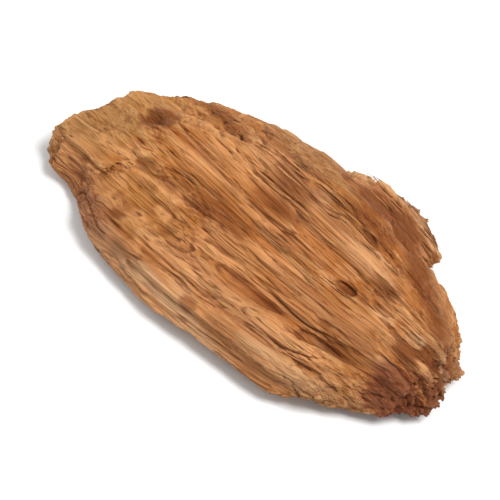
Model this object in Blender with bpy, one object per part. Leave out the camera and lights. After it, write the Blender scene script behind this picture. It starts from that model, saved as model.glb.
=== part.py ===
"""A single chip of agarwood, split and hewn along the grain from resinous heartwood.

The chip lies on its split underside. X runs along the grain, Y across it and Z up. The origin is on the
plane that the chip rests on, under the middle of its plan. Lengths are in millimetres until settle turns
the mesh to metres.
"""

import math

import bmesh
import bpy
from mathutils import Vector, noise

MILLIMETRE = 0.001

# Driving dimensions. The profiles below are drawn for this length.
LENGTH = 36.4
# The chip is worked out on a fine grid, and thinned out to the triangles that its shape needs.
GRAIN_CELLS = 190
CROSS_CELLS = 96
THICKNESS_CELLS = 22
TRIANGLES = 9600

# Plan of the chip's rim, (x, y): the thin front edge, and the thick back edge with its splinter sheet,
# which ends in a notch.
FRONT_EDGE = (
    (-18.2, -6.1),
    (-16.4, -6.5),
    (-14.4, -6.3),
    (-12.2, -7.4),
    (-10.0, -8.3),
    (-7.6, -8.8),
    (-1.6, -9.2),
    (5.9, -8.7),
    (9.0, -8.4),
    (10.8, -7.5),
    (13.0, -5.6),
    (15.4, -4.0),
    (18.2, -2.5),
)
BACK_EDGE = (
    (-18.2, -0.2),
    (-17.2, 1.2),
    (-14.3, 4.4),
    (-11.2, 5.7),
    (-7.6, 6.5),
    (-5.1, 7.2),
    (-2.3, 8.1),
    (1.2, 9.8),
    (4.3, 10.3),
    (6.9, 9.9),
    (8.8, 8.7),
    (9.5, 6.9),
    (12.6, 5.9),
    (15.0, 4.5),
    (16.8, 2.6),
    (18.2, 1.2),
)

# Cuts that hewed the top face, each a plane: a point on it (x, y, z) and its slopes along X and Y.
TOP_CUTS = (
    ((0.0, -9.2, 3.1), (0.000, 0.250)),
    ((8.0, 0.0, 5.6), (-0.075, 0.180)),
    ((0.0, 7.8, 6.1), (0.010, -0.200)),
    ((-11.3, 5.0, 4.9), (0.120, -0.460)),
    ((-18.2, -3.0, 3.3), (0.350, 0.020)),
    ((-16.0, 2.0, 3.9), (0.240, -0.330)),
    ((18.4, -1.0, 2.9), (-0.850, 0.080)),
    ((13.0, -5.6, 2.7), (-0.380, 0.640)),
    ((14.0, 4.8, 4.1), (-0.240, -0.480)),
)
ARRIS_RADIUS = 0.35
# The front edge carries a narrow steep bevel: its height at the rim and its slope.
FRONT_BEVEL = (1.9, 1.3)

# Cuts of the underside, as above. What falls below zero is worn flat on the resting plane.
UNDERSIDE_CUTS = (
    ((0.0, 0.0, -0.36), (0.000, 0.000)),
    ((-18.2, 0.0, 0.90), (-0.150, 0.020)),
    ((18.4, 0.0, 0.95), (0.180, 0.030)),
    ((0.0, -8.6, 0.50), (0.010, -0.260)),
    ((2.0, 6.5, 0.30), (0.020, 0.260)),
)
RIM_ROUNDING = 0.06
UNDERSIDE_ROUNDING = 0.30

# The two ends: how far each stands off its nominal place, (share across, x), and its slant over the height.
HEWN_END = ((-1.0, 1.2), (-0.5, 0.0), (0.4, 0.1), (1.0, 0.9))
HEWN_END_SLANT = 0.8
BROKEN_END = ((-1.0, -1.3), (-0.4, -0.1), (0.3, 0.0), (1.0, -0.9))
BROKEN_END_SLANT = -1.1
END_HALF_WIDTH = 6.0
END_HALF_HEIGHT = 3.0

# Where the grain runs: two of its lines, (x, y), that draw together towards the broken end, and the
# distance between them where the patterns of the grain keep their true width.
GRAIN_FRONT = ((-18.2, -9.9), (0.0, -9.3), (9.0, -8.2), (18.2, -6.0))
GRAIN_BACK = ((-18.2, 8.8), (-4.0, 7.6), (8.0, 6.4), (18.2, 4.4))
GRAIN_WIDTH = 17.0

# Marks along the grain of the top face: start, end, width and height. Grooves are below zero.
GRAIN_MARKS = (
    ((-3.6, 2.6), (8.6, 1.3), 1.3, -0.55),
    ((-2.8, 4.4), (4.6, 4.2), 1.2, -0.40),
    ((-5.2, 0.6), (7.4, -0.6), 1.2, -0.40),
    ((-0.8, -5.0), (8.8, -3.8), 1.0, -0.32),
    ((6.6, -5.0), (15.0, -2.1), 1.4, -0.95),
    ((-12.4, 2.9), (-3.2, 2.0), 1.5, 0.55),
    ((-2.0, 3.5), (7.0, 2.8), 1.3, 0.35),
    ((-4.0, -1.6), (6.0, -2.2), 1.6, 0.30),
    ((3.6, -6.3), (12.0, -4.7), 1.5, 0.45),
    ((-9.0, -7.4), (4.0, -7.3), 1.4, -0.30),
)
# Hollows cut by a gouge or rotted out: centre, radii and depth.
HOLLOWS = (
    ((-14.2, -1.4), (4.2, 3.4), 0.75),
    ((-12.8, 0.6), (1.1, 0.9), 0.60),
    ((8.1, 0.0), (1.3, 0.8), 0.40),
    ((11.2, 1.4), (1.5, 0.9), 0.45),
    ((-8.4, -5.6), (1.4, 1.1), 0.30),
    ((14.6, -0.4), (2.4, 1.6), 0.35),
)
# A ledge crosses the hewn end and turns along the grain. The face falls away in front of it, then recovers.
LEDGE_LINE = (
    (-18.2, -6.6),
    (-15.0, -5.8),
    (-12.6, -4.6),
    (-11.2, -2.7),
    (-9.2, -1.4),
    (-6.0, -1.2),
    (-1.0, -2.0),
)
LEDGE_DROP = ((-17.6, 0.0), (-13.0, 0.6), (-9.6, 1.0), (-5.0, 0.7), (-1.2, 0.0))
LEDGE_WIDTH = 1.2
LEDGE_WANDER = 0.8
LEDGE_RECOVERY = 6.0
# The splinter sheet on the back edge lies below a step that runs along this line.
STEP_LINE = ((-4.0, 7.9), (-1.0, 7.5), (1.8, 7.0), (5.0, 6.4), (8.6, 5.5), (10.2, 7.2))
STEP_DROP = 1.2
STEP_WIDTH = 0.35

# Layers of the torn back wall: share of the height where each ends, and how far it stands out below.
BACK_LAYERS = ((-0.40, 0.50), (0.30, 0.55))
LAYER_EDGE = 0.15
LAYER_WANDER = 0.40
BACK_WALL_FADE = 8

# Split wood is fluted along the grain, parts in narrow cracks, and its layers tear off in long tongues.
FLUTE_ACROSS = 1.7
FLUTE_ALONG = 18.0
FLUTE_HEIGHT = 0.26
CRACK_ACROSS = 2.4
CRACK_ALONG = 20.0
CRACK_WIDTH = 0.11
CRACK_DEPTH = 0.24
TONGUE_ACROSS = 3.4
TONGUE_ALONG = 17.0
TONGUE_LEVELS = (-0.22, 0.12)
TONGUE_EDGE = 0.10
TONGUE_DROP = 0.26
# The back edge crosses the grain in small steps, and the ends break in bundles of fibres.
SPLIT_STEP_LENGTH = 4.6
SPLIT_STEP_DEPTH = 0.34
SPLIT_STEP_WANDER = 1.8
BUNDLE_ACROSS = 1.7
BUNDLE_REACH = 0.66
WAVER = 0.12
WAVER_LENGTH = 3.0
# Where the noise of each surface is read, so that no two are alike.
TOP_LAYER = 0.0
UNDERSIDE_LAYER = 40.0

WOOD_COLOUR = (0.451, 0.178, 0.063, 1.0)
WOOD_ROUGHNESS = 0.62


def tangent(points, index):
    """Slope of the smooth curve through points, at one of them."""
    before = points[max(index - 1, 0)]
    after = points[min(index + 1, len(points) - 1)]
    return (after[1] - before[1]) / (after[0] - before[0])


def profile(points, at):
    """Value at one place of the smooth curve through points, held level past either end."""
    if at <= points[0][0]:
        return points[0][1]
    if at >= points[-1][0]:
        return points[-1][1]
    index = next(i for i in range(len(points) - 1) if at <= points[i + 1][0])
    start, end = points[index], points[index + 1]
    span = end[0] - start[0]
    t = (at - start[0]) / span
    rise = end[1] - start[1]
    leave = tangent(points, index) * span
    arrive = tangent(points, index + 1) * span
    return start[1] + t * (leave + t * (3 * rise - 2 * leave - arrive + t * (leave + arrive - 2 * rise)))


def smooth_step(value):
    """Eases from 0 to 1 as value goes from 0 to 1."""
    t = min(max(value, 0.0), 1.0)
    return t * t * (3 - 2 * t)


def grain_noise(x, y, layer, across, along):
    """Noise from about -1 to 1 whose waves are drawn out along the grain."""
    return noise.noise(Vector((x / along, y / across, layer)))


def grain_mark(x, y, start, end, width):
    """Share from 0 to 1 by which a long narrow mark from start to end reaches a place."""
    share = (x - start[0]) / (end[0] - start[0])
    if not 0 < share < 1:
        return 0.0
    off_line = y - (start[1] + share * (end[1] - start[1]))
    return math.exp(-((2 * off_line / width) ** 2)) * math.sin(math.pi * share)


def hollow(x, y, centre, radii):
    """Share from 0 at the rim to 1 in the middle of a gouged hollow."""
    reach = ((x - centre[0]) / radii[0]) ** 2 + ((y - centre[1]) / radii[1]) ** 2
    return max(0.0, 1 - reach)


def lower(first, second):
    """The lower of two heights, eased over the radius of an arris where they meet."""
    overlap = max(ARRIS_RADIUS - abs(first - second), 0.0)
    return min(first, second) - overlap * overlap / (4 * ARRIS_RADIUS)


def hewn(cuts, x, y, side):
    """Height of the surface that the cuts leave: side is 1 for the top and -1 for the underside."""
    height = math.inf
    for place, slopes in cuts:
        height = lower(height, side * (place[2] + slopes[0] * (x - place[0]) + slopes[1] * (y - place[1])))
    return side * height


def grain_y(x, y):
    """Place across the grain, whose lines draw together towards the broken end."""
    front, back = profile(GRAIN_FRONT, x), profile(GRAIN_BACK, x)
    return GRAIN_WIDTH * (y - front) / (back - front)


def split_relief(x, y, layer):
    """Height of the flutes, cracks and torn tongues of a split face."""
    across = grain_y(x, y)
    flutes = FLUTE_HEIGHT * grain_noise(x, across, layer, FLUTE_ACROSS, FLUTE_ALONG)
    crack = abs(grain_noise(x, across, layer + 3.0, CRACK_ACROSS, CRACK_ALONG)) / CRACK_WIDTH
    tongue = grain_noise(x, across, layer + 5.0, TONGUE_ACROSS, TONGUE_ALONG)
    torn = sum(smooth_step((tongue - level) / TONGUE_EDGE) for level in TONGUE_LEVELS)
    return flutes - CRACK_DEPTH * (1 - smooth_step(crack)) - TONGUE_DROP * torn


def ledge_drop(x, y):
    """How far the face lies below the ledge of the hewn end: most at its foot, less further out."""
    wander = LEDGE_WANDER * noise.noise(Vector((x / 1.6, y / 3.0, 11.0)))
    out = profile(LEDGE_LINE, x) + wander - y
    recovery = 1 - smooth_step((out - LEDGE_WIDTH) / LEDGE_RECOVERY)
    return profile(LEDGE_DROP, x) * smooth_step(out / LEDGE_WIDTH) * recovery


def top_height(x, y):
    """Height of the top face: the hewn facets with the marks of splitting, wear and rot."""
    z = lower(hewn(TOP_CUTS, x, y, 1), FRONT_BEVEL[0] + FRONT_BEVEL[1] * (y - profile(FRONT_EDGE, x)))
    z += split_relief(x, y, TOP_LAYER)
    z += sum(height * grain_mark(x, y, start, end, width) for start, end, width, height in GRAIN_MARKS)
    z -= sum(depth * hollow(x, y, centre, radii) for centre, radii, depth in HOLLOWS)
    z -= ledge_drop(x, y)
    return z - STEP_DROP * smooth_step((y - profile(STEP_LINE, x)) / STEP_WIDTH)


def end_x(v, w, end, shape, slant):
    """Where an end of the chip lies, with its broken bundles of fibres: end is -1 or 1."""
    place = Vector((9.0 * end, END_HALF_WIDTH * v / BUNDLE_ACROSS, END_HALF_HEIGHT * w / BUNDLE_ACROSS))
    return end * LENGTH / 2 + profile(shape, v) + slant * (w + 1) / 2 + BUNDLE_REACH * noise.noise(place)


def back_outset(x, w):
    """How far the torn back wall stands out: layers down its height, and steps where it crosses the grain."""
    wander = LAYER_WANDER * noise.noise(Vector((x / 5.0, 0.0, 7.0)))
    layers = sum(depth * smooth_step((end + wander - w) / LAYER_EDGE) for end, depth in BACK_LAYERS)
    stride = x / SPLIT_STEP_LENGTH + SPLIT_STEP_WANDER * noise.noise(Vector((x / 6.0, 1.5 * w, 3.0)))
    return layers - SPLIT_STEP_DEPTH * (stride - math.floor(stride))


def chip_point(u, v, w):
    """Place on the chip of a point on a block that runs from -1 to 1 each way."""
    rounding = RIM_ROUNDING if w > 0 else UNDERSIDE_ROUNDING
    across = v * math.sqrt(1 - rounding * w * w / 2)
    up = w * math.sqrt(1 - rounding * v * v / 2)
    left = end_x(v, w, -1, HEWN_END, HEWN_END_SLANT)
    right = end_x(v, w, 1, BROKEN_END, BROKEN_END_SLANT)
    x = left + (right - left) * (u + 1) / 2
    front, back = profile(FRONT_EDGE, x), profile(BACK_EDGE, x)
    y = (front + back) / 2 + across * (back - front) / 2
    low = hewn(UNDERSIDE_CUTS, x, y, -1) - split_relief(x, y, UNDERSIDE_LAYER)
    high = top_height(x, y)
    y += back_outset(x, w) * max(v, 0.0) ** BACK_WALL_FADE
    z = (low + high) / 2 + up * (high - low) / 2
    return Vector((x, y, z))


def waver(point):
    """Small irregular shift that keeps hewn lines from running straight."""
    stretched = Vector((point.x / 3, point.y, point.z)) / WAVER_LENGTH
    return WAVER * noise.noise_vector(stretched)


def ruled_block():
    """A block from -1 to 1 each way, ruled into cells along, across and through the grain."""
    block = bmesh.new()
    bmesh.ops.create_cube(block, size=2.0)
    for axis, cells in enumerate((GRAIN_CELLS, CROSS_CELLS, THICKNESS_CELLS)):
        edges = [edge for edge in block.edges if abs((edge.verts[0].co - edge.verts[1].co)[axis]) > 1e-4]
        bmesh.ops.subdivide_edges(block, edges=edges, cuts=cells - 1, use_grid_fill=True)
    return block


def settle(chip):
    """Wears the lowest points flat, puts the origin under the middle and turns the mesh to metres."""
    for vert in chip.verts:
        vert.co.z = max(vert.co.z, 0.0)
    for axis in (0, 1):
        places = [vert.co[axis] for vert in chip.verts]
        middle = (min(places) + max(places)) / 2
        for vert in chip.verts:
            vert.co[axis] -= middle
    bmesh.ops.scale(chip, vec=(MILLIMETRE,) * 3, verts=chip.verts)


def wood():
    """The plain oily heartwood of the chip."""
    material = bpy.data.materials.new("agarwood")
    material.use_nodes = True
    shader = material.node_tree.nodes["Principled BSDF"]
    shader.inputs["Base Color"].default_value = WOOD_COLOUR
    shader.inputs["Roughness"].default_value = WOOD_ROUGHNESS
    shader.inputs["Metallic"].default_value = 0.0
    return material


def fine_mesh():
    """The chip on its fine grid."""
    chip = ruled_block()
    for vert in chip.verts:
        vert.co = chip_point(*vert.co)
        vert.co += waver(vert.co)
    settle(chip)
    bmesh.ops.recalc_face_normals(chip, faces=chip.faces)
    mesh = bpy.data.meshes.new("fine_chip")
    chip.to_mesh(mesh)
    chip.free()
    return mesh


def thinned_out(mesh):
    """A mesh of the same shape with no more triangles than it needs, and nothing below the resting plane."""
    fine = bpy.data.objects.new("fine_chip", mesh)
    bpy.context.collection.objects.link(fine)
    modifier = fine.modifiers.new("thin_out", "DECIMATE")
    modifier.ratio = TRIANGLES / sum(len(face.vertices) - 2 for face in mesh.polygons)
    depsgraph = bpy.context.evaluated_depsgraph_get()
    thin = bpy.data.meshes.new_from_object(fine.evaluated_get(depsgraph))
    bpy.data.objects.remove(fine)
    bpy.data.meshes.remove(mesh)
    for vert in thin.vertices:
        vert.co.z = max(vert.co.z, 0.0)
    return thin


def main():
    for old in list(bpy.data.objects):
        bpy.data.objects.remove(old)
    mesh = thinned_out(fine_mesh())
    mesh.name = "agarwood_chip"
    mesh.materials.append(wood())
    mesh.shade_smooth()
    mesh.set_sharp_from_angle(angle=math.radians(40))
    bpy.context.collection.objects.link(bpy.data.objects.new("agarwood_chip", mesh))


main()
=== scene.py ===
"""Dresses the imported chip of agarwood: its torn and hewn surface, loose fibres and oily finish.

Lengths in the classes are in millimetres, in the chip's own frame: X along the grain, Y across it,
Z up from the plane that the chip rests on. Meshes are turned to metres when they are made.
"""

import logging
import math
import random
from dataclasses import dataclass, field
from enum import Enum
from typing import Any

import bmesh
import bpy
import numpy as np
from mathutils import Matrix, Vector, noise
from mathutils.bvhtree import BVHTree


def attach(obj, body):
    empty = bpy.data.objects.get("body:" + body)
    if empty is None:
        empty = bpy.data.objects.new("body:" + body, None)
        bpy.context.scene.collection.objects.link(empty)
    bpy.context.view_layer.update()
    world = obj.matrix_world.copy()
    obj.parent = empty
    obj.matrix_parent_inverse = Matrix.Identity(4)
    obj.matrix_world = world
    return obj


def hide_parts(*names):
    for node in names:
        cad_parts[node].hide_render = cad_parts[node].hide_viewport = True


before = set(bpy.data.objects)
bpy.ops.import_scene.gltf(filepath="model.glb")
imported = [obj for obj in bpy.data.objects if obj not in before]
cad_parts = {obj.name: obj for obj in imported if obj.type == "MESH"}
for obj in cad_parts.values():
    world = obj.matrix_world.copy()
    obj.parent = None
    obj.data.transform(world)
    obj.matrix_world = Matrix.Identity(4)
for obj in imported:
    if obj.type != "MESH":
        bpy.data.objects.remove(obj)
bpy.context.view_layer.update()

MILLIMETRE = 0.001
CHIP_NODE = "agarwood_chip"
BODY = "root"

Pair = tuple[float, float]
Triple = tuple[float, float, float]
# A fibre's course: points from its root to its tip, each with the way out of the wood there.
Course = list[tuple[Vector, Vector]]

log = logging.getLogger("agarwood")


def linear(colour: str) -> tuple[float, float, float, float]:
    """Turns an sRGB hex colour into the linear colour that a socket takes.

    Args:
        colour: six hex digits after a hash.

    Returns:
        Red, green, blue and a full alpha.
    """
    parts = [int(colour[i : i + 2], 16) / 255 for i in (1, 3, 5)]
    light = [p / 12.92 if p <= 0.04045 else ((p + 0.055) / 1.055) ** 2.4 for p in parts]
    return (*light, 1.0)


def add_node(
    tree: bpy.types.NodeTree, kind: str, inputs: dict[str | int, Any] | None = None, **settings: Any
) -> bpy.types.Node:
    """Adds a node with its settings and links.

    Args:
        tree: the node tree that takes it.
        kind: the node's type, without its ShaderNode prefix.
        inputs: what each input gets, by socket name or number: a value, or the socket to link.
        settings: the node's own properties.

    Returns:
        The new node.
    """
    node = tree.nodes.new("ShaderNode" + kind)
    for name, value in settings.items():
        setattr(node, name, value)
    for key, value in (inputs or {}).items():
        if isinstance(value, bpy.types.NodeSocket):
            tree.links.new(value, node.inputs[key])
        else:
            node.inputs[key].default_value = value
    return node


def smooth_step(value: float) -> float:
    """Eases from 0 to 1 as value goes from 0 to 1."""
    t = min(max(value, 0.0), 1.0)
    return t * t * (3 - 2 * t)


def ease(bm: bmesh.types.BMesh, passes: int, factor: float) -> None:
    """Draws every vertex of a mesh towards the middle of its neighbours.

    Args:
        bm: the mesh.
        passes: how many times.
        factor: share of the way that a pass goes.
    """
    for _ in range(passes):
        bmesh.ops.smooth_vert(
            bm, verts=bm.verts, factor=factor, use_axis_x=True, use_axis_y=True, use_axis_z=True
        )


def finished_object(
    name: str, bm: bmesh.types.BMesh, material: bpy.types.Material
) -> bpy.types.Object:
    """Makes a shown object of a bmesh in millimetres, at the origin, unturned and unscaled.

    Args:
        name: the piece's name.
        bm: its mesh, which is freed.
        material: its finish.

    Returns:
        The new object, in metres.
    """
    bmesh.ops.scale(bm, vec=(MILLIMETRE,) * 3, verts=bm.verts)
    mesh = bpy.data.meshes.new(name)
    bm.to_mesh(mesh)
    bm.free()
    mesh.materials.append(material)
    mesh.shade_smooth()
    piece = bpy.data.objects.new(name, mesh)
    bpy.context.scene.collection.objects.link(piece)
    return piece


@dataclass(frozen=True)
class Ramp:
    """An eased rise from 0, at its start, to 1, a span further on."""

    start: float
    span: float

    def share(self, value: float) -> float:
        """How far up the ramp a value is, from 0 to 1."""
        return smooth_step((value - self.start) / self.span)


@dataclass(frozen=True)
class Waves:
    """Noise drawn out along the grain: its width and length, and a shift to another part of it."""

    across: float
    along: float
    shift: float = 0.0

    def spot(self, place: Vector, ahead: float = 0.0) -> Vector:
        """The spot of the noise for a place of the wood, read some way further along."""
        x, y = (place.x + ahead) / self.along, place.y / self.across
        return Vector((x, y, place.z / self.across + self.shift))

    def height(self, place: Vector, ahead: float = 0.0) -> float:
        """The noise at that spot, from about -1 to 1."""
        return noise.noise(self.spot(place, ahead))


@dataclass(frozen=True)
class Grain:
    """How the grain runs through the chip: its lines draw together towards the broken end."""

    # Two lines of it, near the chip's front and back, and how far apart they count as.
    front: tuple[Pair, ...] = ((-18.2, -9.9), (0.0, -9.3), (9.0, -8.2), (18.2, -6.0))
    back: tuple[Pair, ...] = ((-18.2, 8.8), (-4.0, 7.6), (8.0, 6.4), (18.2, 4.4))
    width: float = 17.0
    # How far ahead a line is read to tell its direction.
    step: float = 0.5

    @staticmethod
    def _edge(points: tuple[Pair, ...], x: float) -> float:
        """Place across the chip, at x, of one of the two lines."""
        return float(np.interp(x, [p[0] for p in points], [p[1] for p in points]))

    def place(self, point: Vector) -> Vector:
        """Gives a point's place along, across and through the grain.

        Args:
            point: a point of the chip.

        Returns:
            The place, where across counts as if the grain ran straight.
        """
        front, back = self._edge(self.front, point.x), self._edge(self.back, point.x)
        return Vector((point.x, self.width * (point.y - front) / (back - front), point.z))

    def direction(self, point: Vector) -> Vector:
        """Gives the way that the grain runs at a point.

        Args:
            point: a point of the chip.

        Returns:
            A unit vector towards the broken end.
        """
        share = self.place(point).y / self.width
        front, back = (self._edge(line, point.x + self.step) for line in (self.front, self.back))
        return Vector((self.step, front + share * (back - front) - point.y, 0.0)).normalized()


@dataclass(frozen=True)
class Stroke:
    """A mark that runs along the face from start to end, and fades towards its sides and ends."""

    start: Pair
    end: Pair
    width: float
    strength: float = 1.0

    def share(self, x: float, y: float, wander: float) -> float:
        """Tells how far the mark reaches a place.

        Args:
            x: place along the chip.
            y: place across it.
            wander: sideways shift that makes the mark ragged.

        Returns:
            From 0 away from the mark to its strength on it.
        """
        along = (x - self.start[0]) / (self.end[0] - self.start[0])
        if not 0 < along < 1:
            return 0.0
        off = y - (self.start[1] + along * (self.end[1] - self.start[1])) + wander
        across = math.exp(-((2 * off / self.width) ** 2))
        return self.strength * across * math.sqrt(math.sin(math.pi * along))


@dataclass(frozen=True)
class Patch:
    """A patch of the face with its own tone or texture: an oval with a ragged, faded rim."""

    centre: Pair
    radii: Pair
    strength: float = 1.0
    rim: float = 0.45

    def share(self, x: float, y: float, wander: float) -> float:
        """Tells how far the patch reaches a place.

        Args:
            x: place along the chip.
            y: place across it.
            wander: change of the reach that makes the rim ragged.

        Returns:
            From 0 outside to its strength inside.
        """
        off_x, off_y = x - self.centre[0], y - self.centre[1]
        reach = math.hypot(off_x / self.radii[0], off_y / self.radii[1])
        return self.strength * smooth_step((1.0 - reach + wander) / self.rim)


class Zone(Enum):
    """Tones and textures that lie over parts of the chip, some of them painted shade or painted
    light, each kept as an attribute of its mesh.
    """

    HEWN = "hewn"
    GOLDEN_AND_LIT = "golden_and_lit"
    RESIN_AND_SHADE = "resin_and_shade"
    DARK_END_AND_SHADE = "dark_end_and_shade"
    PALE = "pale"
    ROSY = "rosy"
    PITTED = "pitted"
    GREYED_AND_SHADED = "greyed_and_shaded"
    LOW_SHADE = "low_shade"


# The marks that make up each zone. The painted shade low on the walls has none: it follows the
# height above the table.
ZONES = {
    Zone.HEWN: (Patch((-15.4, -1.6), (4.6, 5.6)), Patch((-11.0, 2.8), (6.5, 2.0), 0.4)),
    # Golden streaks and mottle, and painted light on one step wall.
    Zone.GOLDEN_AND_LIT: (
        Stroke((-12.8, 2.6), (-5.6, 1.0), 1.9, 0.75),
        Stroke((-7.8, 0.9), (-2.0, 0.9), 1.5),
        Stroke((-10.0, -0.9), (-4.0, -1.1), 1.1, 0.8),
        Stroke((-4.4, 1.6), (5.6, 1.2), 1.1),
        Stroke((4.4, 1.2), (10.8, 2.3), 1.1, 0.7),
        Stroke((0.4, -2.8), (6.8, -2.2), 1.1),
        # Painted light on a step wall that the lamps leave in shade.
        Stroke((-0.8, -0.8), (6.2, 0.1), 0.9, 0.8),
        Stroke((-3.6, -4.3), (2.8, -4.4), 1.5),
        Stroke((-3.4, -7.8), (3.0, -7.8), 1.7),
        Stroke((1.8, -6.1), (11.8, -5.8), 1.0, 0.9),
        Stroke((-4.6, 3.9), (2.0, 3.5), 0.7, 0.5),
        Patch((11.7, -0.5), (1.5, 0.8), 0.9),
        Patch((11.9, 0.7), (1.5, 0.8), 0.8),
        Patch((7.4, 0.3), (1.3, 0.6), 0.8),
        Patch((7.0, -1.1), (1.2, 0.6), 0.8),
        Patch((14.2, -0.4), (1.3, 0.9), 0.9),
        Patch((11.0, -1.9), (1.4, 0.6), 0.7),
        Patch((-13.4, -3.6), (1.8, 1.0), 0.5),
        Patch((-15.2, -5.4), (1.8, 1.0), 0.4),
        Patch((-7.8, -6.2), (1.0, 0.7)),
        Patch((-6.3, -4.8), (1.0, 0.7)),
        Patch((-5.4, -8.5), (0.8, 0.6)),
        Patch((-7.4, -9.0), (0.8, 0.6)),
        Patch((-4.1, -7.4), (0.9, 0.6)),
        Patch((-8.0, -3.4), (0.9, 0.6), 0.8),
        Patch((-6.4, -3.5), (1.6, 0.7), 0.9),
        Patch((-11.1, -3.4), (1.8, 1.5), 0.8),
        Patch((-3.0, -5.6), (1.6, 0.9), 0.6),
        Patch((-10.9, -5.1), (0.9, 0.6), 0.8),
    ),
    # Resin veins and pits, and painted shade laid in the resin tone where walls and rims are in
    # shade.
    Zone.RESIN_AND_SHADE: (
        Stroke((-9.0, -2.6), (-6.0, -2.2), 0.8, 0.4),
        Stroke((-5.8, -2.8), (0.4, -2.7), 1.4),
        Stroke((-12.6, 4.2), (-5.4, 2.8), 1.1),
        Stroke((-10.4, 0.1), (-4.4, -0.1), 0.6, 0.6),
        Stroke((-2.8, 2.4), (2.0, 2.4), 1.8),
        Stroke((2.8, 2.4), (6.4, 2.3), 0.8, 0.5),
        Stroke((-2.4, 0.5), (2.6, 0.6), 1.2),
        Stroke((2.8, 3.9), (8.4, 4.3), 1.5, 0.9),
        Stroke((1.2, 5.6), (5.8, 5.2), 0.9, 0.8),
        Stroke((-0.6, -2.1), (6.2, -0.2), 0.6, 0.6),
        Stroke((3.0, -3.1), (12.4, -2.9), 0.8, 0.55),
        Stroke((9.6, -4.1), (14.2, -3.1), 1.5, 0.6),
        # Painted shade at the foot of the step under the split-off sheet and along the back-right
        # rim.
        Patch((5.2, 6.8), (4.8, 2.3)),
        Stroke((6.2, 6.2), (11.6, 3.7), 2.0, 0.8),
        Stroke((9.0, 4.9), (18.6, 0.1), 1.9),
        Patch((8.4, -0.6), (0.9, 0.6), 0.8),
        Stroke((9.0, 0.9), (11.8, 1.3), 0.9),
        Patch((9.4, -3.7), (0.8, 0.4), 0.8),
        Patch((15.0, -1.2), (1.6, 0.7)),
        Patch((16.5, -0.3), (1.4, 0.6)),
        Patch((1.0, -8.9), (0.9, 0.6), 0.7),
        Patch((-12.5, -0.1), (2.1, 1.6)),
        Patch((-13.2, 1.3), (2.2, 1.0), 0.35),
        # Painted shade on the wall along the front-left rim.
        Stroke((-14.0, -7.0), (-3.6, -9.6), 2.0, 0.45),
        Stroke((-6.6, -8.4), (-1.4, -9.0), 1.0, 0.4),
        Patch((-7.1, -5.4), (0.6, 0.4), 0.5),
        Patch((-8.3, -7.4), (1.0, 0.6), 0.8),
        Patch((-4.8, -5.9), (0.9, 0.5), 0.5),
        Patch((-5.3, -6.8), (0.6, 0.4), 0.5),
        Patch((-9.8, -6.1), (0.7, 0.5), 0.5),
        Patch((-9.3, -4.3), (0.7, 0.4), 0.5),
    ),
    # Darker broken end: darker wood, and painted shade where the end turns down from the light.
    Zone.DARK_END_AND_SHADE: (Patch((19.6, -1.6), (3.2, 4.6)), Patch((16.4, -3.4), (3.2, 2.1))),
    Zone.PALE: (
        Stroke((-9.8, -9.2), (6.8, -9.6), 0.9, 0.85),
        Stroke((5.4, -8.3), (11.2, -7.5), 1.2, 0.55),
        Stroke((9.8, -8.2), (13.2, -5.9), 1.0, 0.25),
        Stroke((-1.2, 8.4), (6.2, 9.9), 1.1, 0.7),
        Stroke((4.6, 9.9), (8.8, 7.9), 1.1, 0.7),
        Stroke((15.8, 1.6), (18.6, -0.6), 0.8, 0.35),
        Patch((8.2, 1.8), (3.4, 1.2), 0.32),
        Patch((-0.3, -8.3), (1.6, 0.7), 0.6),
        Patch((1.8, 3.3), (1.2, 0.5), 0.4),
        Patch((12.0, -0.4), (1.2, 0.6), 0.7),
        Patch((14.7, -0.1), (1.0, 0.5), 0.8),
        Patch((17.3, 0.4), (0.9, 0.8), 0.4),
    ),
    Zone.ROSY: (Stroke((-15.4, -7.0), (-6.0, -9.6), 2.0), Patch((17.0, 1.2), (1.8, 1.4), 0.6)),
    Zone.PITTED: (
        Patch((-8.2, -5.6), (4.8, 3.4)),
        Patch((-10.7, -3.2), (1.8, 1.5), 0.8),
        Patch((-12.5, -0.1), (1.9, 1.3), 0.9),
    ),
    # Greyed wood, and painted shade on the back edge of the top, the back wall and the rims by the
    # broken end, where they turn from the light.
    Zone.GREYED_AND_SHADED: (
        Patch((-2.0, 5.4), (8.5, 1.7), 0.9),
        Patch((4.0, 13.0), (18.0, 7.0), 0.5),
        Stroke((10.2, 5.6), (17.6, 1.0), 1.8, 0.8),
        Stroke((6.0, -9.9), (12.4, -7.2), 1.0, 0.5),
        Stroke((10.4, -8.1), (16.6, -4.0), 2.1),
        Patch((-15.6, -3.0), (3.8, 4.2), 0.45),
        Patch((-16.4, -4.4), (1.9, 1.8), 0.35),
    ),
    Zone.LOW_SHADE: (),
}


def zone_share(zone: Zone, point: Vector, wander: float = 0.0) -> float:
    """Tells how far a zone's marks reach a point.

    Args:
        zone: the zone.
        point: a point of the chip.
        wander: what makes the marks' edges ragged there.

    Returns:
        From 0 outside them to 1.
    """
    return min(1.0, sum(mark.share(point.x, point.y, wander) for mark in ZONES[zone]))


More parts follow.
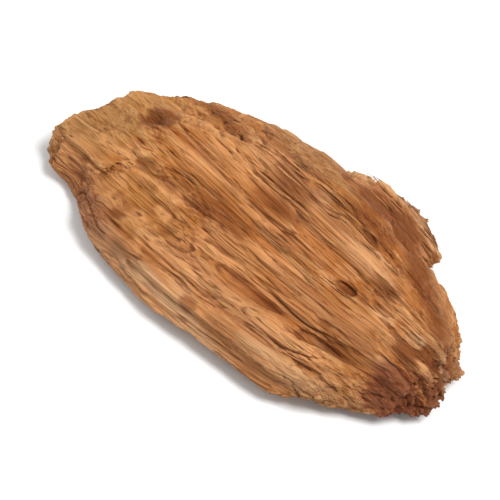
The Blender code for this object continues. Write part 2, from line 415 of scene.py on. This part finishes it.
@dataclass
class ChipSurface:
    """The chip's wood: the solid's form in small cells drawn out along the grain, then torn."""

    name: str = "chip_wood"
    grain: Grain = field(default_factory=Grain)

    # The cells that the surface is rebuilt from: their size across the grain, what the chip's
    # length is multiplied by meanwhile, and how the facets' edges are rounded afterwards.
    cell: float = 0.095
    squeeze: float = 0.42
    weld: float = 0.0001
    rounding_passes: int = 3
    rounding: float = 0.5

    # Bundles of fibres, fibres and the finest strands, each with its rise, and the height of noise
    # up to which it is a valley. Real fibres are about 0.02 mm wide, and are drawn coarser here so
    # that they show.
    strands: tuple[tuple[Waves, float], ...] = (
        (Waves(1.00, 30.0, 1.00), 0.12),
        (Waves(0.46, 18.0, 0.46), 0.10),
        (Waves(0.23, 9.0, 0.23), 0.06),
    )
    strand_valley: float = 0.26

    # Cracks from drying, and the stretches where the wood has parted along them.
    crack: Waves = Waves(2.1, 46.0, 31.0)
    crack_width: float = 0.045
    crack_depth: float = 0.26
    parting: Waves = Waves(2.4, 12.0, 37.0)
    parted: Ramp = Ramp(-0.02, 0.2)

    # Terraces, where sheets of fibres came away, and the ragged ends that they tore at.
    terrace: Waves = Waves(1.3, 44.0, 53.0)
    terrace_levels: tuple[float, ...] = (-0.30, -0.10, 0.08, 0.26)
    terrace_edge: float = 0.030
    terrace_drop: float = 0.11
    ragged: Waves = Waves(0.30, 6.0, 7.0)
    ragged_reach: float = 3.4

    # Vessels laid open, as short grooves. Real ones are about 0.1 mm wide, and are drawn coarser.
    vessel: Waves = Waves(0.62, 5.5)
    vessel_reach: float = 0.17
    vessel_rim: float = 0.10
    vessel_depth: float = 0.15

    # Rot pits, and the share of the fibres that they take away.
    pit_size: float = 0.95
    pit_shift: Triple = (3.0, 9.0, 1.0)
    pit_level: float = 0.15
    pit_depth: float = 0.24
    pit_loss: float = 0.5

    # Bundles that bristle at the ends, and the share of them that a clean cut takes away.
    bristle: Waves = Waves(0.36, 14.0)
    bristle_height: float = 0.20
    bristle_seed: float = 7.3
    bristle_loss: float = 0.6

    # The share of the whole relief that a clean cut takes away, and how far the surface is sunk so
    # that its ridges reach the solid's.
    hewn_loss: float = 0.45
    sink: float = 0.06

    # Which slopes count as the top and as end grain, by the normal's Z and X.
    facing_up: Ramp = Ramp(-0.1, 0.3)
    facing_end: Ramp = Ramp(0.45, 0.4)

    # What makes the zones' edges wander and fray along the fibres.
    drift: Waves = Waves(0.5, 3.0, 13.0)
    fray: Waves = Waves(0.18, 3.5, 71.0)
    fray_share: float = 0.7
    wander: float = 0.35
    # How high the painted shade low on the walls reaches, and how far that height wanders.
    low_shade_height: float = 1.5
    low_shade_wander: float = 0.4

    # How far the surface is eased to tell what stands out nearby, and more broadly.
    easing: float = 0.8
    fine_passes: int = 20
    broad_passes: int = 160

    def build(self, node: bpy.types.Object, material: bpy.types.Material) -> bpy.types.Object:
        """Makes the chip's fibrous surface.

        Args:
            node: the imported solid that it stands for.
            material: its finish.

        Returns:
            The piece.
        """
        bm = self._resampled(node)
        ease(bm, self.rounding_passes, self.rounding)
        bm.normal_update()
        self._tear(bm)
        self._note_relief(bm)
        return finished_object(self.name, bm, material)

    def _resampled(self, node: bpy.types.Object) -> bmesh.types.BMesh:
        """Rebuilds the solid's surface from small cells, longer along the grain than across it.

        Args:
            node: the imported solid.

        Returns:
            A closed mesh in millimetres.
        """
        bm = bmesh.new()
        bm.from_mesh(node.data)
        bmesh.ops.remove_doubles(bm, verts=bm.verts, dist=self.weld * MILLIMETRE)
        stretch = Vector((self.squeeze, 1.0, 1.0)) / MILLIMETRE
        bmesh.ops.scale(bm, vec=stretch, verts=bm.verts)
        coarse = bpy.data.meshes.new("resampled")
        bm.to_mesh(coarse)
        holder = bpy.data.objects.new("resampled", coarse)
        bpy.context.scene.collection.objects.link(holder)
        remesh = holder.modifiers.new("cells", "REMESH")
        remesh.mode = "VOXEL"
        remesh.voxel_size = self.cell
        depsgraph = bpy.context.evaluated_depsgraph_get()
        fine = bpy.data.meshes.new_from_object(holder.evaluated_get(depsgraph))
        bm.clear()
        bm.from_mesh(fine)
        bpy.data.objects.remove(holder)
        for mesh in (coarse, fine):
            bpy.data.meshes.remove(mesh)
        bmesh.ops.scale(bm, vec=(1 / self.squeeze, 1.0, 1.0), verts=bm.verts)
        return bm

    def _relief(self, place: Vector, pitted: float, hewn: float, end_grain: float) -> float:
        """Height of the torn surface at a place of the wood.

        Args:
            place: along, across and through the grain.
            pitted: share of rot pits.
            hewn: share of a clean cut.
            end_grain: share of fibres seen from their ends.

        Returns:
            The height over the solid's surface.
        """
        height = -self.sink
        for strand, rise in self.strands:
            height += rise * (min(abs(strand.height(place)) / self.strand_valley, 1.0) - 0.5)
        line = abs(self.crack.height(place)) / self.crack_width
        parted = self.parted.share(self.parting.height(place))
        height -= self.crack_depth * parted * (1 - smooth_step(line))
        torn = self.terrace.height(place, self.ragged_reach * self.ragged.height(place))
        for level in self.terrace_levels:
            height -= self.terrace_drop * (smooth_step((torn - level) / self.terrace_edge) - 0.5)
        near = noise.voronoi(self.vessel.spot(place))[0][0]
        height -= self.vessel_depth * smooth_step((self.vessel_reach - near) / self.vessel_rim)
        height *= 1 - self.hewn_loss * hewn
        if pitted > 0:
            pit = noise.noise(place / self.pit_size + Vector(self.pit_shift))
            height *= 1 - self.pit_loss * pitted
            height += pitted * self.pit_depth * (pit - self.pit_level)
        if end_grain > 0:
            bundle = noise.voronoi(self.bristle.spot(place))[1][0]
            left = 1 - self.bristle_loss * hewn
            rise = noise.cell(bundle * self.bristle_seed)
            height += end_grain * self.bristle_height * left * rise
        return height

    def _tear(self, bm: bmesh.types.BMesh) -> None:
        """Gives the surface its fibres, creases, terraces and pits, and notes where each zone lies.

        Args:
            bm: the resampled surface, in millimetres.
        """
        grain_layer = bm.verts.layers.float_vector.new("grain")
        end_layer = bm.verts.layers.float.new("end_grain")
        zone_layers = {zone: bm.verts.layers.float.new(zone.value) for zone in Zone}
        moves = []
        for vert in bm.verts:
            place = self.grain.place(vert.co)
            upward = self.facing_up.share(vert.normal.z)
            end_grain = self.facing_end.share(abs(vert.normal.x))
            drift = self.drift.height(place)
            wander = self.wander * (drift + self.fray_share * self.fray.height(place))
            shares = {zone: zone_share(zone, vert.co, wander) for zone in Zone}
            shares[Zone.RESIN_AND_SHADE] *= upward
            shares[Zone.PITTED] *= upward
            # Painted shade: the walls get darker towards the table.
            low_shade = self.low_shade_height + self.low_shade_wander * drift - vert.co.z
            shares[Zone.LOW_SHADE] = smooth_step(low_shade / self.low_shade_height)
            vert[grain_layer] = place
            vert[end_layer] = end_grain
            for zone, layer in zone_layers.items():
                vert[layer] = shares[zone]
            height = self._relief(place, shares[Zone.PITTED], shares[Zone.HEWN], end_grain)
            moves.append(vert.normal * height)
        for vert, move in zip(bm.verts, moves):
            vert.co += move
            vert.co.z = max(vert.co.z, 0.0)
        bm.normal_update()

    def _note_relief(self, bm: bmesh.types.BMesh) -> None:
        """Notes, on each vertex, how far it stands out from what surrounds it.

        Args:
            bm: the torn surface, in millimetres.
        """
        eased = bm.copy()
        passes = 0
        for name, upto in (("relief", self.fine_passes), ("swell", self.broad_passes)):
            layer = bm.verts.layers.float.new(name)
            ease(eased, upto - passes, self.easing)
            passes = upto
            for vert, around in zip(bm.verts, eased.verts):
                vert[layer] = (vert.co - around.co).dot(vert.normal)
        eased.free()


@dataclass(frozen=True)
class Tuft:
    """A stretch of the chip where fibres have come loose: where they root and how they lie."""

    # The line that the roots are near, the way to look from outside to find the wood, and how many
    # fibres there are.
    start: Triple
    end: Triple
    look: Triple
    count: int
    # Shortest and longest fibre, how far the tips lift off, and the fibres' width.
    length: Pair
    lift: float
    width: float = 0.20
    # 1 where the tips point to the broken end, and -1 where they point to the hewn one.
    heading: int = 1
    pale: float = 0.3

    @property
    def jutting(self) -> bool:
        """Whether the fibres jut out of an end: they do where the look runs along the grain."""
        return self.look[0] != 0


@dataclass
class LooseFibres:
    """Fibres and small splinters that splitting the wood has lifted off its faces and ends."""

    name: str = "loose_fibres"
    grain: Grain = field(default_factory=Grain)
    seed: int = 11

    # The rod that each fibre is shaped from: its sides, its rings and its depth by its width.
    sides: int = 6
    rings: int = 8
    flatness: float = 0.5

    # Where a fibre starts: how far roots stray, how far off the look for them begins, and how deep
    # they sit in a face and in an end.
    scatter: float = 0.5
    look_from: float = 50.0
    root_depth: float = 0.10
    end_root_depth: float = 0.40

    # How it runs: its share of the tuft's lift, how far it sways on a face and out of an end, and
    # the longest step between rings, by the plain one, before it counts as crossing a gap.
    lift_share: Pair = (0.3, 1.0)
    sway: float = 0.05
    end_sway: float = 0.25
    longest_step: float = 1.8
    easing_passes: int = 3

    # Its thickness: its share of the tuft's width, how much is gone at the tip and how late, its
    # width at the root, and the part of its length over which that grows to the full width.
    width_share: Pair = (0.6, 1.5)
    tip_loss: float = 0.9
    tip_curve: float = 1.5
    root_width: float = 0.6
    root_part: float = 0.25

    # Its tone: its share of the tuft's paleness, what it keeps of the resin and painted shade at
    # its root, and the length of the wood's pattern that it carries.
    pale_share: Pair = (0.2, 1.4)
    resin_kept: float = 0.8
    pattern_length: float = 4.0

    def tufts(self) -> tuple[Tuft, ...]:
        """Lists where fibres are loose.

        Returns:
            The tufts of the top, of the back wall, and of the broken and hewn ends.
        """
        top, back = (0.0, 0.0, -1.0), (0.0, -1.0, 0.0)
        broken, hewn = (-1.0, 0.0, 0.0), (1.0, 0.0, 0.0)
        return (
            Tuft((-11.0, 3.4, 0), (8.0, 3.0, 0), top, 26, (2.0, 6.0), 0.30),
            Tuft((-8.0, -2.2, 0), (8.0, -1.2, 0), top, 22, (2.0, 5.5), 0.28),
            Tuft((-9.0, -7.2, 0), (9.0, -6.6, 0), top, 20, (1.8, 5.0), 0.25),
            Tuft((2.0, 7.9, 0), (9.2, 7.2, 0), top, 12, (1.5, 4.0), 0.35),
            Tuft((-12.0, -4.4, 0), (-8.4, -1.8, 0), top, 12, (0.8, 2.0), 0.35, heading=-1),
            Tuft((-13.0, 0, 1.2), (14.0, 0, 1.0), back, 30, (2.0, 6.0), 0.40),
            Tuft((-12.0, 0, 2.6), (12.0, 0, 2.4), back, 26, (2.0, 6.0), 0.40, heading=-1),
            Tuft((0, -4.4, 1.6), (0, 2.6, 1.8), broken, 34, (0.25, 0.60), 0.25, 0.15, pale=0.25),
            Tuft((0, -2.6, 2.8), (0, 2.0, 2.8), broken, 22, (0.20, 0.50), 0.20, 0.14, pale=0.25),
            Tuft((0, -5.4, 1.4), (0, 0.4, 1.4), hewn, 18, (0.20, 0.60), 0.20, 0.12, heading=-1),
        )

    def build(self, chip: bpy.types.Object, material: bpy.types.Material) -> bpy.types.Object:
        """Lays the fibres on the chip.

        Args:
            chip: the finished chip, whose surface they follow.
            material: their finish.

        Returns:
            The piece.
        """
        places = [vert.co / MILLIMETRE for vert in chip.data.vertices]
        faces = [tuple(face.vertices) for face in chip.data.polygons]
        surface = BVHTree.FromPolygons(places, faces)
        draw = random.Random(self.seed)
        bm = bmesh.new()
        layers = {
            "grain": bm.verts.layers.float_vector.new("grain"),
            Zone.PALE.value: bm.verts.layers.float.new(Zone.PALE.value),
            Zone.RESIN_AND_SHADE.value: bm.verts.layers.float.new(Zone.RESIN_AND_SHADE.value),
        }
        rod = self._rod(bm)
        for tuft in self.tufts():
            for _ in range(tuft.count):
                line = self._line(surface, tuft, draw)
                if line:
                    self._strand(bm, rod, layers, line, tuft, draw)
        spare = [part for part in rod if isinstance(part, bmesh.types.BMVert)]
        bmesh.ops.delete(bm, geom=spare, context="VERTS")
        return finished_object(self.name, bm, material)

    def _rod(self, bm: bmesh.types.BMesh) -> list:
        """Models the plain rod, one unit long, that each fibre is shaped from.

        Args:
            bm: the mesh that takes it.

        Returns:
            Its vertices, edges and faces.
        """
        bmesh.ops.create_cone(
            bm, cap_ends=True, segments=self.sides, radius1=0.5, radius2=0.5, depth=1.0
        )
        ends = [(edge, *edge.verts) for edge in bm.edges]
        long_edges = [edge for edge, one, other in ends if abs(one.co.z - other.co.z) > 0.5]
        bmesh.ops.subdivide_edges(bm, edges=long_edges, cuts=self.rings - 1)
        return [*bm.verts, *bm.edges, *bm.faces]

    def _line(self, surface: BVHTree, tuft: Tuft, draw: random.Random) -> Course:
        """Draws the course of one fibre.

        Args:
            surface: the chip's surface.
            tuft: the tuft that it belongs to.
            draw: the random draws.

        Returns:
            Its course, or an empty one where it finds no wood or would cross a gap.
        """
        look = Vector(tuft.look)
        root = Vector(tuft.start).lerp(Vector(tuft.end), draw.random())
        root += Vector([draw.gauss(0.0, self.scatter) for _ in range(3)])
        root, out, _, _ = surface.ray_cast(root - look * (self.look_from + root.dot(look)), look)
        length = draw.uniform(*tuft.length)
        lift = tuft.lift * draw.uniform(*self.lift_share)
        most = self.end_sway if tuft.jutting else self.sway
        sway = Vector((0.0, draw.gauss(0.0, 1.0), draw.gauss(0.0, 1.0))) * most
        if root is None:
            return []
        way = self.grain.direction(root) * tuft.heading
        line = []
        for ring in range(self.rings + 1):
            share = ring / self.rings
            point = root + way * (length * share) + sway * (length * share * share)
            if tuft.jutting:
                point -= way * (self.end_root_depth * (1 - share))
            else:
                rise = lift * share * share - self.root_depth * (1 - share)
                point = surface.find_nearest(point)[0] + out * rise
            line.append(point)
        longest = max((end - start).length for start, end in zip(line, line[1:]))
        if longest > self.longest_step * length / self.rings:
            return []
        for _ in range(self.easing_passes):
            threes = zip(line, line[1:], line[2:])
            inner = [(before + 2 * here + after) / 4 for before, here, after in threes]
            line = [line[0], *inner, line[-1]]
        return [(point, out) for point in line]

    def _strand(
        self,
        bm: bmesh.types.BMesh,
        rod: list,
        layers: dict[str, bmesh.types.BMLayerItem],
        line: Course,
        tuft: Tuft,
        draw: random.Random,
    ) -> None:
        """Models one fibre along its course: a flat strand that tapers to its tip.

        Args:
            bm: the mesh that takes it.
            rod: the plain rod in that mesh, from _rod.
            layers: the mesh's attributes, by name.
            line: its course, from _line.
            tuft: the tuft that it belongs to.
            draw: the random draws.
        """
        width = tuft.width * draw.uniform(*self.width_share)
        pale = tuft.pale * draw.uniform(*self.pale_share)
        root = line[0][0]
        resin_and_shade = zone_share(Zone.RESIN_AND_SHADE, root)
        made = bmesh.ops.duplicate(bm, geom=rod)["geom"]
        for vert in [part for part in made if isinstance(part, bmesh.types.BMVert)]:
            share = vert.co.z + 0.5
            ring = min(round(share * self.rings), self.rings)
            point, out = line[ring]
            before, after = line[max(ring - 1, 0)][0], line[min(ring + 1, self.rings)][0]
            way = (after - before).normalized()
            side = out.cross(way).normalized()
            full = smooth_step(share / self.root_part)
            taper = width * (1 - self.tip_loss * share**self.tip_curve)
            taper *= self.root_width + (1 - self.root_width) * full
            off = Vector((share * self.pattern_length, vert.co.x * width, vert.co.y * width))
            vert[layers["grain"]] = self.grain.place(root) + off
            vert[layers[Zone.PALE.value]] = pale * (1 - resin_and_shade)
            vert[layers[Zone.RESIN_AND_SHADE.value]] = resin_and_shade * self.resin_kept
            vert.co = point + side * (vert.co.x * taper) + out * (vert.co.y * taper * self.flatness)
            vert.co.z = max(vert.co.z, 0.0)


@dataclass(frozen=True)
class Streaks:
    """Streaks of noise along the grain: their width and length, and the noise that is 0 and 1."""

    across: float
    along: float
    low: float
    high: float
    detail: float = 2.0
    shift: float = 0.0
    strength: float = 1.0

    def share(self, tree: bpy.types.NodeTree, grain: bpy.types.NodeSocket) -> bpy.types.NodeSocket:
        """Draws the streaks.

        Args:
            tree: the material's node tree.
            grain: place along, across and through the grain, in millimetres.

        Returns:
            The socket that gives from 0 between the streaks to their strength in them.
        """
        scale = (1 / self.along, 1 / self.across, 1 / self.across)
        stretch = {"Vector": grain, "Location": (self.shift,) * 3, "Scale": scale}
        place = add_node(tree, "Mapping", stretch).outputs[0]
        look = {"Vector": place, "Scale": 1.0, "Detail": self.detail}
        waves = add_node(tree, "TexNoise", look).outputs["Fac"]
        limits = {"Value": waves, "From Min": self.low, "From Max": self.high}
        limits["To Max"] = self.strength
        streaks = add_node(tree, "MapRange", limits, interpolation_type="SMOOTHSTEP")
        return streaks.outputs["Result"]


@dataclass(frozen=True)
class AgarwoodHeartwood:
    """Raw agarwood heartwood, split and hewn, with nothing on it but its own resin.

    Its torn fibres scatter the light, so it looks matt and warm brown, streaked tan, orange and
    golden along the grain. Where resin fills it, it is darker and redder, with an oily satin.
    Its colour also carries painted shade, in grooves, dells, low walls, rims that turn from the
    light and the broken end, and painted light on a shaded step wall.
    """

    name: str = "agarwood_heartwood_split"
    tan: str = "#BD8052"
    orange: str = "#AC6428"
    light_fibre: str = "#DAA46B"
    dark_fibre: str = "#884818"
    # Tone of resin, also used for painted shade.
    resin_and_shade: str = "#74390F"
    vessel: str = "#43200F"
    hewn: str = "#BC8B4B"
    # Golden tone, also used for painted light.
    golden_and_lit: str = "#DF9F67"
    # Tone of the darker broken end, also used for painted shade.
    dark_end_and_shade: str = "#6E3522"
    pale: str = "#DCB48A"
    rosy: str = "#94594A"
    # Tone of greyed wood, also used for painted shade.
    greyed_and_shaded: str = "#8C6342"
    # Tones of the painted shade in grooves and in broad dells.
    crease_shade: str = "#4F240F"
    dell_shade: str = "#8A481A"
    # Tone of the painted shade low on the walls.
    low_shade: str = "#6B3A22"
    end: str = "#8A5526"
    worn: str = "#D8A56F"

    # Bands of growth and veins of resin have their real width. Fibres are about 0.02 mm wide and
    # vessels 0.1 mm, too fine to show, so they are drawn here as coarse as they need to show, as
    # light and dark streaks, flecks, fibres and threads of 0.13 to 0.42 mm.
    bands: Streaks = Streaks(3.2, 30.0, 0.40, 0.62, 3.0)
    veins: Streaks = Streaks(1.3, 18.0, 0.60, 0.70, 4.0, 17.0, 0.42)
    light: Streaks = Streaks(0.42, 9.0, 0.48, 0.66, 3.0, 5.0)
    dark: Streaks = Streaks(0.34, 8.0, 0.50, 0.70, 3.0, 11.0)
    flecks: Streaks = Streaks(0.22, 2.2, 0.66, 0.74, 1.0, 23.0)
    fibres: Streaks = Streaks(0.13, 4.0, 0.30, 0.70, 2.0, 29.0)
    threads: Streaks = Streaks(0.17, 5.0, 0.42, 0.60, 2.0, 41.0)

    # Heights over what lies around, at which the painted shade in grooves, the worn ridges and the
    # painted shade in broad dells start to show and show in full. The pitted hollow keeps less of
    # that painted shade, so its grooves and dells are less dark.
    crease_shade_heights: Pair = (0.0, -0.15)
    worn_heights: Pair = (0.02, 0.15)
    dell_shade_heights: Pair = (-0.02, -0.34)
    pit_shade_kept: float = 0.45

    ior: float = 1.5
    roughness: float = 0.80
    resin_roughness: float = 0.60
    specular: float = 0.20
    bump_height: float = 0.10
    bump_strength: float = 0.8

    def material(self) -> bpy.types.Material:
        """Builds the finish.

        Returns:
            The material.
        """
        made = bpy.data.materials.new(self.name)
        made.use_nodes = True
        tree = made.node_tree
        tree.nodes.clear()
        shares = self._shares(tree)
        rough = {"Value": shares["resin_and_shade"], "To Min": self.roughness, "To Max": self.resin_roughness}
        raised = {0: shares["light"], 1: shares["fibres"]}
        height = add_node(tree, "Math", raised, operation="ADD").outputs[0]
        bump = {"Height": height, "Strength": self.bump_strength}
        bump["Distance"] = self.bump_height * MILLIMETRE
        looks = {
            "Base Color": self._colour(tree, shares),
            "Roughness": add_node(tree, "MapRange", rough).outputs["Result"],
            "IOR": self.ior,
            "Specular IOR Level": self.specular,
            "Normal": add_node(tree, "Bump", bump).outputs[0],
        }
        shader = add_node(tree, "BsdfPrincipled", looks)
        add_node(tree, "OutputMaterial", {"Surface": shader.outputs[0]})
        return made

    def _shares(self, tree: bpy.types.NodeTree) -> dict[str, bpy.types.NodeSocket]:
        """Draws where each streak, zone, height and the resin lies.

        Args:
            tree: the material's node tree.

        Returns:
            What each is at a place of the surface, by its name: from 0 to 1, but for the heights.
        """
        names = ("end_grain", "relief", "swell", *(zone.value for zone in Zone))
        shares = {
            name: add_node(tree, "Attribute", attribute_name=name).outputs["Fac"] for name in names
        }
        grain = add_node(tree, "Attribute", attribute_name="grain").outputs["Vector"]
        for name in ("bands", "veins", "light", "dark", "flecks", "fibres", "threads"):
            shares[name] = getattr(self, name).share(tree, grain)
        # Painted shade in grooves and broad dells, and lighter worn ridges, by how far the surface
        # stands out.
        for name, height, limits in (
            ("crease_shade", "relief", self.crease_shade_heights),
            ("worn", "relief", self.worn_heights),
            ("dell_shade", "swell", self.dell_shade_heights),
        ):
            rise = {"Value": shares[height], "From Min": limits[0], "From Max": limits[1]}
            ramp = add_node(tree, "MapRange", rise, interpolation_type="SMOOTHSTEP")
            shares[name] = ramp.outputs["Result"]
        # The pitted hollow keeps less of the painted shade in its grooves and dells.
        pit_shade_ramp = {"Value": shares["pitted"], "To Min": 1.0, "To Max": self.pit_shade_kept}
        left = add_node(tree, "MapRange", pit_shade_ramp).outputs["Result"]
        for name in ("crease_shade", "dell_shade"):
            kept = add_node(tree, "Math", {0: shares[name], 1: left}, operation="MULTIPLY")
            shares[name] = kept.outputs[0]
        soaked = {0: shares["resin_and_shade"], 1: shares["veins"]}
        shares["resin_and_shade"] = add_node(tree, "Math", soaked, operation="MAXIMUM").outputs[0]
        return shares

    def _colour(
        self, tree: bpy.types.NodeTree, shares: dict[str, bpy.types.NodeSocket]
    ) -> bpy.types.NodeSocket:
        """Lays the tones over each other.

        Args:
            tree: the material's node tree.
            shares: where each lies, from _shares.

        Returns:
            The socket that gives the colour.
        """
        # Each layer over the one before: where it lies, how much it covers there, and its tone.
        layers = (
            ("bands", 1.0, self.orange),
            ("hewn", 0.65, self.hewn),
            ("pitted", 0.40, self.hewn),
            # Greyed wood and painted shade.
            ("greyed_and_shaded", 0.75, self.greyed_and_shaded),
            ("rosy", 0.65, self.rosy),
            ("light", 0.45, self.light_fibre),
            ("dark", 0.50, self.dark_fibre),
            ("fibres", 0.18, self.light_fibre),
            ("threads", 0.24, self.dark_fibre),
            ("end_grain", 0.40, self.end),
            ("worn", 0.40, self.worn),
            # Darker broken end, partly painted shade.
            ("dark_end_and_shade", 0.80, self.dark_end_and_shade),
            ("pale", 0.68, self.pale),
            # Golden streaks, and painted light.
            ("golden_and_lit", 0.60, self.golden_and_lit),
            # Painted shade in broad dells.
            ("dell_shade", 0.30, self.dell_shade),
            # Painted shade low on the walls.
            ("low_shade", 0.60, self.low_shade),
            # Resin, and painted shade laid in its tone.
            ("resin_and_shade", 0.84, self.resin_and_shade),
            ("flecks", 0.55, self.vessel),
            # Painted shade in grooves.
            ("crease_shade", 0.60, self.crease_shade),
        )
        colour = linear(self.tan)
        for name, cover, tone in layers:
            laid = add_node(tree, "Math", {0: shares[name], 1: cover}, operation="MULTIPLY")
            tones = {0: laid.outputs[0], 6: colour, 7: linear(tone)}
            colour = add_node(tree, "Mix", tones, data_type="RGBA").outputs[2]
        return colour


@dataclass
class Studio:
    """A plain pale table top under soft studio light, seen through a long lens."""

    azimuth: float = 48.0
    elevation: float = 52.0
    lens: float = 200.0
    sensor: float = 36.0
    # The width that the picture shows at the target, and the near and far limits of the view.
    span: float = 35.7
    target: Triple = (0.35, -2.45, 2.96)
    clip: Pair = (10.0, 10000.0)
    floor_colour: str = "#F4F4F4"
    floor_roughness: float = 0.9
    floor_size: float = 3000.0
    sky: float = 0.50

    def build(self) -> None:
        """Lays the table top, hangs the lights and sets up the camera."""
        self._floor()
        self._sky()
        self._light("key_softbox", (220.0, -90.0, 380.0), size=180.0, power=2.0)
        self._light("fill_softbox", (-300.0, 200.0, 250.0), size=300.0, power=0.5)
        self._camera()
        bpy.context.scene.view_settings.view_transform = "Standard"

    def _axes(self) -> tuple[Vector, Vector, Vector]:
        """Works out the camera's own ways.

        Returns:
            The way to its right, the way ahead along the floor, and the way back to the camera.
        """
        a, e = math.radians(self.azimuth), math.radians(self.elevation)
        right = Vector((math.cos(a), math.sin(a), 0.0))
        ahead = Vector((-math.sin(a), math.cos(a), 0.0))
        back = Vector((math.sin(a) * math.cos(e), -math.cos(a) * math.cos(e), math.sin(e)))
        return right, ahead, back

    def _floor(self) -> None:
        """Lays the table top."""
        bm = bmesh.new()
        bmesh.ops.create_grid(bm, x_segments=1, y_segments=1, size=self.floor_size / 2)
        material = bpy.data.materials.new("table_top_matt")
        material.use_nodes = True
        shader = material.node_tree.nodes["Principled BSDF"]
        shader.inputs["Base Color"].default_value = linear(self.floor_colour)
        shader.inputs["Roughness"].default_value = self.floor_roughness
        finished_object("table_top", bm, material)

    def _sky(self) -> None:
        """Fills the studio with even white light."""
        world = bpy.data.worlds.new("studio")
        world.use_nodes = True
        background = world.node_tree.nodes["Background"]
        background.inputs["Color"].default_value = (1.0, 1.0, 1.0, 1.0)
        background.inputs["Strength"].default_value = self.sky
        bpy.context.scene.world = world

    def _light(self, name: str, place: Triple, size: float, power: float) -> None:
        """Hangs a soft light that faces the chip.

        Args:
            name: the light's name.
            place: how far it is to the camera's right, ahead and up.
            size: side of its square.
            power: its power in watts.
        """
        right, ahead, _ = self._axes()
        data = bpy.data.lights.new(name, "AREA")
        data.size = size * MILLIMETRE
        data.energy = power
        light = bpy.data.objects.new(name, data)
        way = right * place[0] + ahead * place[1] + Vector((0.0, 0.0, place[2]))
        light.location = way * MILLIMETRE
        light.rotation_mode = "QUATERNION"
        light.rotation_quaternion = (-light.location).to_track_quat("-Z", "Y")
        bpy.context.scene.collection.objects.link(light)

    def _camera(self) -> None:
        """Sets up the camera where the photograph was taken from."""
        _, _, back = self._axes()
        data = bpy.data.cameras.new("camera")
        data.lens = self.lens
        data.sensor_width = self.sensor
        data.clip_start, data.clip_end = (limit * MILLIMETRE for limit in self.clip)
        camera = bpy.data.objects.new("camera", data)
        distance = self.span * self.lens / self.sensor
        camera.location = (Vector(self.target) + back * distance) * MILLIMETRE
        camera.rotation_mode = "QUATERNION"
        camera.rotation_quaternion = (-back).to_track_quat("-Z", "Y")
        bpy.context.scene.collection.objects.link(camera)
        bpy.context.scene.camera = camera


def main() -> None:
    """Builds the chip and its studio, and reports each piece."""
    logging.basicConfig(level=logging.INFO, format="%(name)s: %(message)s")
    Studio().build()
    wood = AgarwoodHeartwood().material()
    chip = ChipSurface().build(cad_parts[CHIP_NODE], wood)
    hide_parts(CHIP_NODE)
    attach(chip, BODY)
    fibres = LooseFibres().build(chip, wood)
    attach(fibres, BODY)
    for piece in (chip, fibres):
        triangles = sum(len(face.vertices) - 2 for face in piece.data.polygons)
        log.info("%s: %d triangles", piece.name, triangles)


if __name__ == "__main__":
    main()
